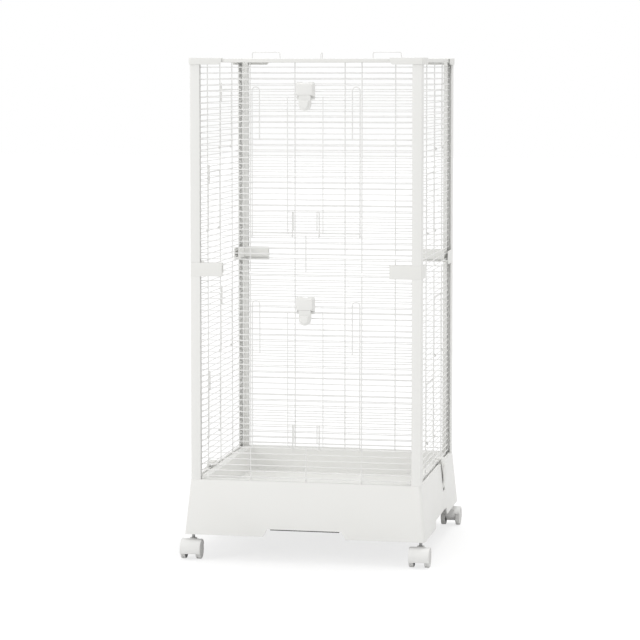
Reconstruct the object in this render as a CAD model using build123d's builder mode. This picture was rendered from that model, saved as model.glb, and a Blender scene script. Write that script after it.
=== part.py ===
from build123d import *
from math import atan, cos, degrees, radians, sin
import os

os.makedirs("parts", exist_ok=True)

# All sizes are in millimetres. The origin is on the floor, under the middle of the cage.
# X runs to the right, Y to the back and Z up, so the front of the cage faces -Y.
cage_width = 446.0  # over the outer faces of the corner posts, left to right
cage_depth = 430.0  # over the outer faces of the corner posts, front to back

# Base: a flared skirt with a flat rim around a shallow basin
base_clearance = 48.0  # floor to the bottom edge of the skirt
base_height = 105.0
base_flare = 9.6  # how much further out the bottom edge is than the rim, on each side
base_wall = 2.5
base_corner_radius = 7.0
rim_ledge = 25.0  # width of the flat rim that carries posts and panels
basin_depth = 46.0
basin_draft = 7.0  # degrees
basin_corner_radius = 14.0
groove_depth = 5.7  # slot in the rim for the bottom wire of the panels
groove_clearance = 0.3
notch_width = 144.0  # finger notch in the bottom edge of the skirt, at its narrow top
notch_height = 14.5
notch_slope = 8.0  # how much wider the notch is at the bottom, on each side
socket_block = 27.0  # solid corner of the skirt that holds a caster stem
socket_block_height = 30.0
socket_rise = 2.0  # bottom edge of the skirt to the mouth of the stem sockets
socket_depth = 17.0

# Wires: rows run level, columns run upright behind them
row_wire = 1.8
column_wire = 2.2
row_pitch = 11.37
rows_per_panel = 36
row_inset = 5.2  # post face to the outer side of the row wires
wire_end_gap = 11.6  # corner of the cage to the ends of the row wires
edge_column_inset = 13.0
bottom_wire_drop = 4.15  # rim to the middle of the lowest wire, which sits in the groove
panel_joint_gap = 7.95  # lowest wire of the upper panel to the top wire of the lower one
top_wire_drop = 6.6  # top of the brackets to the middle of the highest wire
side_column_spacing = 105.0
end_column_spacing = 105.0

# Corner posts: an angle with a channel on each leg for the panel wires
post_leg = 19.0
post_wall = 2.4
post_inner_wall = 1.8
channel_depth = 7.0
post_radius = 2.0

# Joining pieces at half height and caps at the top
joiner_reach = 62.0  # length of each arm from the corner of the cage
joiner_height = 26.0
joiner_rise = 6.2  # middle of the joiners above the middle of the gap between the panels
joiner_web = 2.8
joiner_inner_wall = 2.6
joiner_tip_radius = 2.0
spigot_length = 14.0
spigot_clearance = 0.2
cap_height = 12.9
cap_plate = 2.0
cap_overhang = 2.0
cap_tip_bevel = 5.0
rail_height = 6.6
rail_thickness = 1.3
rail_outer_inset = 1.6
rail_inner_inset = 10.8

# Doors. A row is counted from the top wire of its panel, which is row 0
door_gap = 1.5  # between a door and the columns beside it
hinge_clearance = 0.1  # between a hinge wire and the eyes around it
eye_wall = 1.6
front_doorway = 215.0  # spacing of the columns beside the front door
front_door_top_row = 4
front_door_hinge_row = 29
hairpin_spacing = 14.5  # between the two legs of a door's side wire
hairpin_end_row = 13
hatch_top_row = 25
hatch_opening = 49.0
hatch_column_spacing = 45.0
hatch_rail_spacing = 68.0
hatch_rail_top_row = 6
hatch_rail_gap = 2.0  # room behind the rails for the wires of the hatch
door_sill_rise = 5.0  # hinge wire to the lowest wire of the front door
high_door_top_row = 4
high_door_hinge_row = 15
low_door_top_row = 18
low_door_hinge_row = 29
door_corner_radius = 9.0
slide_clearance = 0.1
catch_width = 9.0
catch_thickness = 1.4
catch_clearance = 0.2
catch_lip = 4.0

# Latch of the front doors
latch_width = 36.8
latch_height = 28.0
latch_depth = 12.0
latch_wall = 1.8
latch_draft = 18.0  # degrees
latch_drop = 7.5  # row above the door to the middle of the housing
latch_stand_off = 0.2
latch_chamfer = 2.5
latch_mouth = 9.0  # height of the opening for the tab, from the foot of the housing
tab_width = 23.0
tab_reach = 26.5  # how far the thumb tab hangs below the housing
tab_insert = 5.0  # how far it goes up inside the housing
tab_thickness = 9.2
tab_clearance = 0.5  # between the tab and the sides of its opening
grip_height = 5.0
grip_inset = 2.0  # edge of the tab to the foot of the thumb grip
grip_drop = 6.0  # foot of the housing to the top of the thumb grip
grip_draft = 30.0  # degrees
tongue_width = 10.0
tongue_thickness = 2.2
tongue_gap = 0.4  # back of the housing to the back of the slider
hook_clearance = 0.5  # around the wire, over it and behind it
hook_tip_clearance = 0.15  # the tip just clears the wire, so that the door can be pulled open
hook_thickness = 1.8
hook_bridge = 2.4
latch_plate_thickness = 2.0
latch_leg_width = 4.2
latch_leg_height = 6.5
latch_leg_spacing = 30.6
latch_plate_height = 19.0

# Roof. Its rows are counted from the middle one, towards the back
roof_doorway = 170.0  # spacing of the columns beside the roof door
roof_door_front_row = -7
roof_door_hinge_row = 7
roof_outer_column_inset = 15.0  # post face to the outermost column
roof_middle_column_inset = 63.0
handle_row = 0
handle_inner_gap = 8.0  # column beside the doorway to the inner leg of a handle
handle_outer_gap = 11.0  # outer leg of a handle to the next column
handle_height = 15.6
handle_radius = 4.0
pull_height = 13.0
pull_length = 16.0
pull_radius = 4.0
pull_row = -5

# Side clips that lock the wire body to the base
clip_width = 24.0
clip_offset = 62.0  # from the middle of the side
clip_thickness = 2.6
clip_pivot_drop = 45.0  # rim to the pivot
clip_pivot_inset = 1.9  # wall face to the pivot, inwards
clip_knuckle_radius = 3.4
clip_pin_radius = 1.5
clip_pin_length = 4.0
clip_boss_wall = 2.0  # plastic around the pins of the clip
clip_wire_gap = 0.5  # wire to the arm that passes over it
clip_slot_height = 20.0
clip_slot_clearance = 0.6
clip_arm_gap = 1.0
clip_hook_gap = 2.5
clip_hook_overlap = 0.3

# Casters: a twin-wheel pair under a hood that turns on a stem
stem_radius = 3.0
stem_inset_x = 11.5  # edge of the skirt to the stem
stem_inset_y = 20.0
stem_top = 64.0
stem_bottom = 22.0
stem_collar_radius = 5.5
stem_collar_height = 3.0
caster_trail = 13.0
wheel_radius = 17.5
wheel_width = 9.0
wheel_track = 30.0  # between the middles of the two wheels
wheel_bevel = 1.2
axle_radius = 2.5
hood_clearance = 0.8
hood_wall = 2.2
hood_front_rise = 11.6  # floor to the front edge of the hood
hood_back_angle = 125.0  # degrees from the front edge's side over the top
fork_thickness = 19.0
fork_radius = 8.5
stem_housing_radius = 7.0
running_clearance = 0.05

# Round and bent forms are made of short flats
round_sides = 24
pin_sides = 8
corner_flats = 3

half_width = cage_width / 2
half_depth = cage_depth / 2
rim = base_clearance + base_height
panel_height = (rows_per_panel - 1) * row_pitch
lower_bottom = rim - bottom_wire_drop
lower_top = lower_bottom + panel_height
upper_bottom = lower_top + panel_joint_gap
upper_top = upper_bottom + panel_height
cage_top = upper_top + top_wire_drop
joint_middle = (lower_top + upper_bottom) / 2 + joiner_rise
joiner_bottom = joint_middle - joiner_height / 2
joiner_top = joint_middle + joiner_height / 2
cap_bottom = cage_top - cap_height
plate_bottom = cage_top - cap_plate
row_middle = row_inset + row_wire / 2
column_outer = row_inset + row_wire
channel_inner = post_wall + channel_depth
post_inner = channel_inner + post_inner_wall
eye_hole = row_wire + 2 * hinge_clearance
eye_size = eye_hole + 2 * eye_wall
outer_roof_row = int((half_depth - rail_inner_inset - row_wire / 2) / row_pitch)
roof_outer_column = half_width - roof_outer_column_inset
roof_middle_column = half_width - roof_middle_column_inset
handle_inner = roof_doorway / 2 + handle_inner_gap
handle_outer = roof_middle_column - handle_outer_gap

outwards = {
    "front": (0, -1, 0),
    "back": (0, 1, 0),
    "left": (-1, 0, 0),
    "right": (1, 0, 0),
}
along = {
    "front": (1, 0, 0),
    "back": (-1, 0, 0),
    "left": (0, -1, 0),
    "right": (0, 1, 0),
}
wall_distance = {
    "front": half_depth,
    "back": half_depth,
    "left": half_width,
    "right": half_width,
}


def finish(piece, name):
    piece.label = name
    export_step(piece, f"parts/{name}.step")


def weld(name, *pieces):
    # Crossing wires only touch, so they stay separate solids of one welded piece
    finish(Compound(children=list(pieces)), name)


def wall_plane(side, inset=0.0):
    # X runs along the wall, Y is the height and Z points outwards
    distance = wall_distance[side] - inset
    origin = tuple(distance * value for value in outwards[side])
    return Plane(origin=origin, x_dir=along[side], z_dir=outwards[side])


def section_plane(side, position):
    # A cut across the wall: X points outwards from the post faces and Y is the height
    origin = wall_plane(side).from_local_coords((position, 0, 0))
    across = tuple(-value for value in along[side])
    return Plane(origin=origin, x_dir=outwards[side], z_dir=across)


def corner_rectangle(sign_x, sign_y, first, second, mode=Mode.ADD):
    # Two ranges, each measured inwards from the corner of the cage, along X and along Y
    middle_x = sign_x * (half_width - sum(first) / 2)
    middle_y = sign_y * (half_depth - sum(second) / 2)
    with Locations((middle_x, middle_y)):
        Rectangle(abs(first[1] - first[0]), abs(second[1] - second[0]), mode=mode)


def corner_pair(sign_x, sign_y, lengthways, crossways, mode=Mode.ADD):
    # The same rectangle along both legs of a corner
    corner_rectangle(sign_x, sign_y, lengthways, crossways, mode)
    corner_rectangle(sign_x, sign_y, crossways, lengthways, mode)


def level(top, number):
    return top - number * row_pitch


def arc_points(middle_x, middle_y, radius, start, end, flats=corner_flats):
    # Corners of a bend made of short flats, between two angles in degrees
    angles = [radians(start + (end - start) * step / flats) for step in range(flats + 1)]
    return [(middle_x + radius * cos(angle), middle_y + radius * sin(angle)) for angle in angles]


def draw_round(radius, sides, inside=False, mode=Mode.ADD):
    # A many-sided bar, or a hole that is nowhere narrower than its radius
    RegularPolygon(radius, sides, major_radius=not inside, rotation=180 / sides, mode=mode)


def draw_arch(left, right, left_foot, right_foot, top, radius, wire):
    # A wire bent into two legs and a bar, which lies at the middle height of the wire
    up = 1 if top > left_foot else -1
    turn = 180 - up * 90
    outline = []
    for offset in (wire / 2, -wire / 2):
        side = [(left - offset, left_foot)]
        side += arc_points(left + radius, top - up * radius, radius + offset, 180, turn)
        second = arc_points(right - radius, top - up * radius, radius + offset, turn, 180 - up * 180)
        side += second[1:] if right - left <= 2 * radius else second
        side += [(right + offset, right_foot)]
        outline += side if offset > 0 else side[::-1]
    Polygon(*outline, align=None)


def draw_rows(start, end, top, numbers):
    with Locations(*[((start + end) / 2, level(top, number)) for number in numbers]):
        Rectangle(end - start, row_wire)


def draw_columns(positions, bottom, top):
    with Locations(*[(position, (bottom + top) / 2) for position in positions]):
        Rectangle(column_wire, top - bottom)


def sloped_edges(block):
    # The four corner edges of a block with drafted sides, which cross its middle height
    return block.edges().group_by(Axis.Z)[1]


def make_tray():
    bottom_width = cage_width + 2 * base_flare
    bottom_depth = cage_depth + 2 * base_flare
    draft = degrees(atan(base_flare / base_height))
    floor_height = rim - basin_depth
    ledge_under = rim - groove_depth - base_wall
    basin_width = cage_width - 2 * rim_ledge
    basin_length = cage_depth - 2 * rim_ledge
    with BuildPart(mode=Mode.PRIVATE) as cavity:
        with BuildSketch(Plane.XY.offset(base_clearance)):
            Rectangle(bottom_width - 2 * base_wall, bottom_depth - 2 * base_wall)
        extrude(amount=ledge_under - base_clearance, taper=draft)
        chamfer(sloped_edges(cavity), base_corner_radius - base_wall)
    with BuildPart(mode=Mode.PRIVATE) as basin:
        with BuildSketch(Plane.XY.offset(ledge_under)):
            Rectangle(basin_width + 2 * base_wall, basin_length + 2 * base_wall)
        extrude(amount=-(ledge_under - floor_height + base_wall), taper=basin_draft)
        chamfer(sloped_edges(basin), basin_corner_radius / 2)
    with BuildPart(mode=Mode.PRIVATE) as hollow:
        with BuildSketch(Plane.XY.offset(rim)):
            Rectangle(basin_width, basin_length)
        extrude(amount=-basin_depth, taper=basin_draft)
        fillet(sloped_edges(hollow), basin_corner_radius)
    with BuildPart(mode=Mode.PRIVATE) as envelope:
        with BuildSketch(Plane.XY.offset(base_clearance)):
            Rectangle(bottom_width, bottom_depth)
        extrude(amount=base_height, taper=draft)
        fillet(sloped_edges(envelope), base_corner_radius)
    with BuildPart() as tray:
        add(envelope.part)
        add(cavity.part, mode=Mode.SUBTRACT)
        # The basin hangs from the rim
        add(basin.part)
        add(hollow.part, mode=Mode.SUBTRACT)
        # Slots in the rim that take the bottom wires of the four panels
        slot_middle = row_inset + (row_wire + column_wire) / 2
        slot_width = row_wire + column_wire + 2 * groove_clearance
        with BuildSketch(Plane.XY.offset(rim)):
            with Locations((0, half_depth - slot_middle), (0, slot_middle - half_depth)):
                Rectangle(cage_width - 2 * channel_inner, slot_width)
            with Locations((half_width - slot_middle, 0), (slot_middle - half_width, 0)):
                Rectangle(slot_width, cage_depth - 2 * channel_inner)
        extrude(amount=-groove_depth, mode=Mode.SUBTRACT)
        # Solid corners for the caster stems, cut to the slope of the skirt
        block_x = bottom_width / 2 - socket_block / 2
        block_y = bottom_depth / 2 - socket_block / 2
        with BuildSketch(Plane.XY.offset(base_clearance + socket_rise)):
            with GridLocations(2 * block_x, 2 * block_y, 2, 2):
                Rectangle(socket_block, socket_block)
        extrude(amount=socket_block_height)
        add(envelope.part, mode=Mode.INTERSECT)
        with BuildSketch(Plane.XY.offset(base_clearance + socket_rise)):
            with Locations(*stem_places()):
                draw_round(stem_radius + running_clearance, pin_sides, inside=True)
        extrude(amount=socket_depth, mode=Mode.SUBTRACT)
        # Finger notches through the bottom edge on all four sides
        for plane in (Plane.XZ, Plane.YZ):
            with BuildSketch(plane):
                with BuildLine():
                    Polyline(
                        (-notch_width / 2 - notch_slope, base_clearance - 1),
                        (-notch_width / 2 - notch_slope, base_clearance),
                        (-notch_width / 2, base_clearance + notch_height),
                        (notch_width / 2, base_clearance + notch_height),
                        (notch_width / 2 + notch_slope, base_clearance),
                        (notch_width / 2 + notch_slope, base_clearance - 1),
                        close=True,
                    )
                make_face()
            extrude(amount=cage_width, both=True, mode=Mode.SUBTRACT)
        # Slots and pin holes for the side clips
        for side in ("right", "left"):
            middle = clip_offset * (1 if side == "right" else -1) * along[side][1]
            pivot = rim - clip_pivot_drop
            wide = clip_width / 2 + clip_slot_clearance
            with BuildSketch(wall_plane(side, -base_flare)):
                with Locations((middle, pivot)):
                    Rectangle(2 * wide, clip_slot_height)
            extrude(amount=-base_flare - 2 * base_wall, mode=Mode.SUBTRACT)
            with BuildSketch(section_plane(side, middle + wide + clip_pin_length)):
                with Locations((clip_pivot_out(), pivot)):
                    draw_round(clip_pin_radius + clip_boss_wall, pin_sides)
            extrude(amount=clip_pin_length)
            with BuildSketch(section_plane(side, middle - wide)):
                with Locations((clip_pivot_out(), pivot)):
                    draw_round(clip_pin_radius + clip_boss_wall, pin_sides)
            extrude(amount=clip_pin_length)
            with BuildSketch(section_plane(side, middle + wide + clip_pin_length)):
                with Locations((clip_pivot_out(), pivot)):
                    draw_round(clip_pin_radius + running_clearance, pin_sides, inside=True)
            extrude(amount=2 * (wide + clip_pin_length), mode=Mode.SUBTRACT)
    finish(tray.part, "base_tray")


def clip_pivot_out():
    # Distance of the clip's pivot from the post faces, outwards
    return base_flare * clip_pivot_drop / base_height - clip_pivot_inset


def stem_places():
    stem_x = half_width + base_flare - stem_inset_x
    stem_y = half_depth + base_flare - stem_inset_y
    return [(x, y) for x in (-stem_x, stem_x) for y in (-stem_y, stem_y)]


def make_post(name, sign_x, sign_y, bottom, top):
    with BuildPart() as post:
        with BuildSketch(Plane.XY.offset(bottom)) as section:
            corner_rectangle(sign_x, sign_y, (0, post_leg), (0, post_leg))
            corner = section.vertices().sort_by_distance(
                (sign_x * half_width, sign_y * half_depth)
            )[0]
            fillet(corner, post_radius)
            corner_rectangle(
                sign_x, sign_y, (post_inner, post_leg), (post_inner, post_leg), Mode.SUBTRACT
            )
            corner_pair(
                sign_x, sign_y, (post_inner, post_leg), (post_wall, channel_inner), Mode.SUBTRACT
            )
            core = (post_wall, channel_inner)
            corner_rectangle(sign_x, sign_y, core, core, Mode.SUBTRACT)
        extrude(amount=top - bottom)
    finish(post.part, name)


def make_joiner(name, sign_x, sign_y):
    web_bottom = (lower_top + upper_bottom - joiner_web) / 2
    inner = channel_inner + joiner_inner_wall
    with BuildPart() as joiner:
        with BuildSketch(Plane.XY.offset(joiner_bottom)) as outline:
            corner_pair(sign_x, sign_y, (0, joiner_reach), (0, inner))
            corner = outline.vertices().sort_by_distance(
                (sign_x * half_width, sign_y * half_depth)
            )[0]
            tips = [
                outline.vertices().sort_by_distance(
                    (sign_x * (half_width - a), sign_y * (half_depth - b))
                )[0]
                for a, b in ((joiner_reach, 0), (0, joiner_reach))
            ]
            fillet([corner, *tips], joiner_tip_radius)
        extrude(amount=joiner_height)
        # Channel for the upper panel, behind a full inner wall
        with BuildSketch(Plane.XY.offset(web_bottom + joiner_web)):
            corner_pair(
                sign_x, sign_y, (post_inner, joiner_reach), (post_wall, channel_inner)
            )
        extrude(amount=joiner_height, mode=Mode.SUBTRACT)
        # Channel for the lower panel, open to the inside
        with BuildSketch(Plane.XY.offset(web_bottom)):
            corner_pair(sign_x, sign_y, (post_inner, joiner_reach), (post_wall, inner))
        extrude(amount=-joiner_height, mode=Mode.SUBTRACT)
        # Spigots that plug into the hollow cores of both posts
        core = (post_wall + spigot_clearance, channel_inner - spigot_clearance)
        with BuildSketch(Plane.XY.offset(joiner_bottom - spigot_length)):
            corner_rectangle(sign_x, sign_y, core, core)
        extrude(amount=joiner_height + 2 * spigot_length)
    finish(joiner.part, name)


def make_cap(name, sign_x, sign_y):
    with BuildPart() as cap:
        with BuildSketch(Plane.XY.offset(cap_bottom)) as outline:
            corner_pair(
                sign_x, sign_y, (-cap_overhang, joiner_reach), (-cap_overhang, rail_inner_inset)
            )
            corner = outline.vertices().sort_by_distance(
                (sign_x * half_width, sign_y * half_depth)
            )
            outer = [v for v in corner if abs(v.X) > half_width and abs(v.Y) > half_depth]
            fillet(outer, post_radius + cap_overhang)
        extrude(amount=cap_height)
        # Everything inside the outer wall, up to the plate
        with BuildSketch(Plane.XY.offset(plate_bottom)):
            corner_pair(sign_x, sign_y, (0, joiner_reach + 1), (0, joiner_reach + 1))
        extrude(amount=-cap_height, mode=Mode.SUBTRACT)
        # Bevelled lower ends of both arms
        for side, sign in (("front", sign_x), ("right", sign_y)):
            reach = half_width if side == "front" else half_depth
            tip = reach - joiner_reach
            with BuildSketch(wall_plane(side, -cap_overhang - 1)):
                with BuildLine():
                    Polyline(
                        (sign * tip, cap_bottom),
                        (sign * (tip + cap_tip_bevel), cap_bottom),
                        (sign * tip, cap_bottom + cap_tip_bevel),
                        close=True,
                    )
                make_face()
            extrude(amount=-2 * (half_width + 2 * cap_overhang), mode=Mode.SUBTRACT)
        # Plug in the hollow core of the post
        core = (post_wall + spigot_clearance, channel_inner - spigot_clearance)
        with BuildSketch(Plane.XY.offset(plate_bottom)):
            corner_rectangle(sign_x, sign_y, core, core)
        extrude(amount=-spigot_length)
    finish(cap.part, name)


def make_rails():
    bottom = plate_bottom - rail_height
    with BuildPart() as rails:
        for side in ("front", "back", "left", "right"):
            end = half_width if side in ("front", "back") else half_depth
            length = end - post_leg - rail_thickness
            with BuildSketch(section_plane(side, length)):
                with Locations((-(rail_outer_inset + rail_inner_inset) / 2, bottom + rail_height / 2)):
                    Rectangle(rail_inner_inset - rail_outer_inset, rail_height)
                with Locations((-(rail_outer_inset + rail_inner_inset) / 2, bottom)):
                    Rectangle(
                        rail_inner_inset - rail_outer_inset - 2 * rail_thickness,
                        2 * (rail_height - rail_thickness),
                        mode=Mode.SUBTRACT,
                    )
            extrude(amount=2 * length)
    finish(rails.part, "top_rails")


def make_panel(name, side, top, columns, doorways=(), short_columns=()):
    # A doorway is its left column, its right column, its top row and its hinge row
    end = wall_distance["left" if side in ("front", "back") else "front"] - wire_end_gap
    edge = end + wire_end_gap - edge_column_inset
    cut = {n for _, _, first, last in doorways for n in range(first + 1, last)}
    hinges = {last for _, _, _, last in doorways}
    whole = [n for n in range(rows_per_panel) if n not in cut | hinges]
    low = top - panel_height - row_wire / 2
    high = top + row_wire / 2
    with BuildPart() as rows:
        with BuildSketch(wall_plane(side, row_inset)):
            draw_rows(-end, end, top, whole)
            for left, right, first, last in doorways:
                numbers = range(first + 1, last)
                draw_rows(-end, left + column_wire / 2, top, numbers)
                draw_rows(right - column_wire / 2, end, top, numbers)
        extrude(amount=-row_wire)
        for number in hinges:
            with BuildSketch(section_plane(side, end)):
                with Locations((-row_middle, level(top, number))):
                    RegularPolygon(row_wire / 2, pin_sides)
            extrude(amount=2 * end)
    with BuildPart() as uprights:
        with BuildSketch(wall_plane(side, column_outer)):
            draw_columns([-edge, *columns, edge], low, high)
            for position, number in short_columns:
                draw_columns([position], low, level(top, number) + row_wire / 2)
        extrude(amount=-column_wire)
    weld(name, rows.part, uprights.part)


def eye_blocks(side, positions, height, size, length):
    # Square blocks on the hinge line, used for the eyes of a door and for their holes
    with BuildPart(mode=Mode.PRIVATE) as blocks:
        for position in positions:
            with BuildSketch(section_plane(side, position + length / 2)):
                with Locations((-row_middle, height)):
                    Rectangle(size, size)
            extrude(amount=length)
    return blocks.part


def make_side_door(name, side, top, left, right, first, last):
    start = left + column_wire / 2 + door_gap
    end = right - column_wire / 2 - door_gap
    legs = (start + column_wire / 2, end - column_wire / 2)
    hinge = level(top, last)
    arch = level(top, first + 1) + column_wire / 2
    with BuildPart() as frame:
        with BuildSketch(wall_plane(side, column_outer)):
            draw_arch(*legs, hinge, hinge, arch, door_corner_radius, column_wire)
        extrude(amount=-column_wire)
        add(eye_blocks(side, legs, hinge, eye_size, column_wire))
        add(eye_blocks(side, legs, hinge, eye_hole, 2 * column_wire), mode=Mode.SUBTRACT)
    with BuildPart() as rows:
        with BuildSketch(wall_plane(side, row_inset)):
            draw_rows(start, end, top, range(first + 1, last))
        extrude(amount=-row_wire)
    border = level(top, first)
    middle = (left + right) / 2 + (right - left) / 4
    with BuildPart() as catch:
        with BuildSketch(section_plane(side, middle + catch_width / 2)):
            with BuildLine():
                Polyline(
                    (-row_inset, level(top, first + 3)),
                    (-row_inset, border - row_pitch / 2),
                    (-row_inset + catch_clearance, border - row_pitch / 2 + 1),
                    (-row_inset + catch_clearance, border + 3),
                    (-row_inset + catch_clearance + catch_lip, border + 3),
                    (-row_inset + catch_clearance + catch_lip, border + 3 - catch_thickness),
                    (-row_inset + catch_thickness, border + 3 - catch_thickness),
                    (-row_inset + catch_thickness, level(top, first + 3)),
                    close=True,
                )
            make_face()
        extrude(amount=catch_width)
    weld(name, frame.part, rows.part, catch.part)


def make_front_door(name, top):
    side = "front"
    end = front_doorway / 2 - column_wire / 2 - door_gap
    long_leg = end - column_wire / 2
    short_leg = long_leg - hairpin_spacing
    hinge = level(top, front_door_hinge_row)
    hairpin_radius = hairpin_spacing / 2
    arch = level(top, front_door_top_row) - row_wire - column_wire / 2
    short_foot = level(top, hairpin_end_row) - row_wire / 2
    hatch_edge = hatch_opening / 2 + column_wire / 2
    rail = hatch_rail_spacing / 2
    sill = hinge + door_sill_rise
    with BuildPart() as frame:
        with BuildSketch(wall_plane(side, column_outer)):
            draw_arch(short_leg, long_leg, short_foot, hinge, arch, hairpin_radius, column_wire)
            draw_arch(-long_leg, -short_leg, hinge, short_foot, arch, hairpin_radius, column_wire)
            draw_columns((-hatch_edge, hatch_edge), hinge, level(top, hatch_top_row) + row_wire / 2)
        extrude(amount=-column_wire)
        feet = (-long_leg, -hatch_edge, hatch_edge, long_leg)
        add(eye_blocks(side, feet, hinge, eye_size, column_wire))
        add(eye_blocks(side, feet, hinge, eye_hole, 2 * column_wire), mode=Mode.SUBTRACT)
    with BuildPart() as rows:
        with BuildSketch(wall_plane(side, row_inset)):
            draw_rows(-end, end, top, range(front_door_top_row + 1, hatch_top_row + 1))
            beside = range(hatch_top_row + 1, front_door_hinge_row)
            draw_rows(-end, -hatch_opening / 2, top, beside)
            draw_rows(hatch_opening / 2, end, top, beside)
            with Locations((0, sill)):
                Rectangle(2 * end, row_wire)
        extrude(amount=-row_wire)
    # Guide rails of the hatch stand off the wires on feet at both ends
    with BuildPart() as rails:
        rail_top = level(top, hatch_rail_top_row) + row_wire / 2
        rail_foot = sill - row_wire / 2
        face = -row_inset + hatch_rail_gap
        for sign in (-1, 1):
            with BuildSketch(section_plane(side, sign * rail + column_wire / 2)):
                with BuildLine():
                    Polyline(
                        (-row_inset, rail_foot),
                        (face + column_wire, rail_foot),
                        (face + column_wire, rail_top),
                        (-row_inset, rail_top),
                        (-row_inset, rail_top - row_wire),
                        (face, rail_top - row_wire),
                        (face, rail_foot + row_wire),
                        (-row_inset, rail_foot + row_wire),
                        close=True,
                    )
                make_face()
            extrude(amount=column_wire)
    weld(name, frame.part, rows.part, rails.part)


def make_hatch(name, top):
    side = "front"
    face = row_inset - slide_clearance
    reach = hatch_rail_spacing / 2 + column_wire / 2 + slide_clearance + row_wire
    lowest = front_door_hinge_row - 1
    with BuildPart() as rows:
        with BuildSketch(wall_plane(side, face)):
            draw_rows(-reach, reach, top, (hatch_top_row, lowest))
            inner = hatch_column_spacing / 2 + column_wire / 2
            draw_rows(-inner, inner, top, range(hatch_top_row + 1, lowest))
        extrude(amount=row_wire)
    # Bent ends of the outer rows, which lap the rails
    with BuildPart() as ends:
        with BuildSketch(wall_plane(side, face - row_wire)):
            for sign in (-1, 1):
                with Locations(
                    *[
                        (sign * (reach - row_wire / 2), level(top, number))
                        for number in (hatch_top_row, lowest)
                    ]
                ):
                    Rectangle(row_wire, row_wire)
        extrude(amount=column_wire)
    with BuildPart() as uprights:
        with BuildSketch(wall_plane(side, face - row_wire)):
            draw_columns(
                (-hatch_column_spacing / 2, hatch_column_spacing / 2),
                level(top, lowest) - row_wire / 2,
                level(top, hatch_top_row) + row_wire / 2,
            )
        extrude(amount=column_wire)
    weld(name, rows.part, ends.part, uprights.part)


def make_latch(section, top):
    side = "front"
    border = level(top, front_door_top_row)
    middle = border - latch_drop
    back = row_inset - latch_stand_off
    bottom = middle - latch_height / 2
    # The door's two highest wires pass between the legs of the housing and the plate behind
    leg_middle = (level(top, front_door_top_row + 1) + level(top, front_door_top_row + 2)) / 2
    with BuildPart() as housing:
        with BuildSketch(wall_plane(side, back)):
            with Locations((0, middle)):
                Rectangle(latch_width, latch_height)
        extrude(amount=latch_depth, taper=latch_draft)
        chamfer(housing.edges().group_by(Axis.Y)[1], latch_chamfer)
        with BuildSketch(wall_plane(side, back)):
            with Locations((0, middle)):
                Rectangle(latch_width - 2 * latch_wall, latch_height - 2 * latch_wall)
        extrude(amount=latch_depth - latch_wall, taper=latch_draft, mode=Mode.SUBTRACT)
        # Way through the bottom for the tab and through the top for the hook
        with BuildSketch(wall_plane(side, back)):
            with Locations((0, bottom)):
                Rectangle(tab_width + 2 * tab_clearance, 2 * latch_mouth)
        extrude(amount=tab_thickness + tab_clearance, mode=Mode.SUBTRACT)
        with BuildSketch(wall_plane(side, back)):
            with Locations((0, middle + latch_height / 2)):
                Rectangle(tongue_width + 2 * tab_clearance, 6 * latch_wall)
        extrude(amount=2 * tongue_thickness, mode=Mode.SUBTRACT)
        with BuildSketch(wall_plane(side, back)):
            with Locations(
                (-latch_leg_spacing / 2, leg_middle), (latch_leg_spacing / 2, leg_middle)
            ):
                Rectangle(latch_leg_width, latch_leg_height)
        extrude(amount=-(column_outer - back))
    finish(housing.part, f"latch_housing_{section}")

    with BuildPart() as plate:
        with BuildSketch(wall_plane(side, column_outer)):
            with Locations((0, leg_middle)):
                Rectangle(latch_width - 2, latch_plate_height)
        extrude(amount=-latch_plate_thickness)
    finish(plate.part, f"latch_plate_{section}")

    tab_top = bottom + tab_insert
    tab_bottom = bottom - tab_reach
    tab_radius = tab_width / 2
    tab_middle = tab_bottom + tab_radius
    foot = arc_points(0, tab_middle, tab_radius, 180, 360, 2 * corner_flats)
    grip_radius = tab_radius - grip_inset
    grip_top = bottom - grip_drop
    grip_foot = arc_points(0, tab_middle, grip_radius, 180, 360, 2 * corner_flats)
    tongue_back = back - tongue_gap
    hook_tip = border + row_wire / 2 + hook_tip_clearance
    hook_bottom = hook_tip + hook_clearance
    hook_top = hook_bottom + hook_bridge
    hook_back = column_outer + hook_clearance
    with BuildPart() as slider:
        with BuildSketch(wall_plane(side, tongue_back)):
            Polygon((tab_radius, tab_top), (-tab_radius, tab_top), *foot, align=None)
        extrude(amount=tab_thickness)
        # Raised thumb grip below the housing
        with BuildSketch(wall_plane(side, tongue_back - tab_thickness)):
            Polygon((grip_radius, grip_top), (-grip_radius, grip_top), *grip_foot, align=None)
        extrude(amount=grip_height, taper=grip_draft)
        # Tongue, hook over the wire and its finger behind the wire
        with BuildSketch(section_plane(side, tongue_width / 2)):
            with BuildLine():
                Polyline(
                    (-tongue_back, tab_top - 1),
                    (-tongue_back, hook_bottom),
                    (-hook_back, hook_bottom),
                    (-hook_back, hook_tip),
                    (-hook_back - hook_thickness, hook_tip),
                    (-hook_back - hook_thickness, hook_top),
                    (-tongue_back + tongue_thickness, hook_top),
                    (-tongue_back + tongue_thickness, tab_top - 1),
                    close=True,
                )
            make_face()
        extrude(amount=tongue_width)
    finish(slider.part, f"latch_slider_{section}")


def roof_level():
    # Middle of the roof rows, which lie right under the plates of the corner caps
    return plate_bottom - row_wire / 2


def roof_row(number):
    return number * row_pitch


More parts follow.
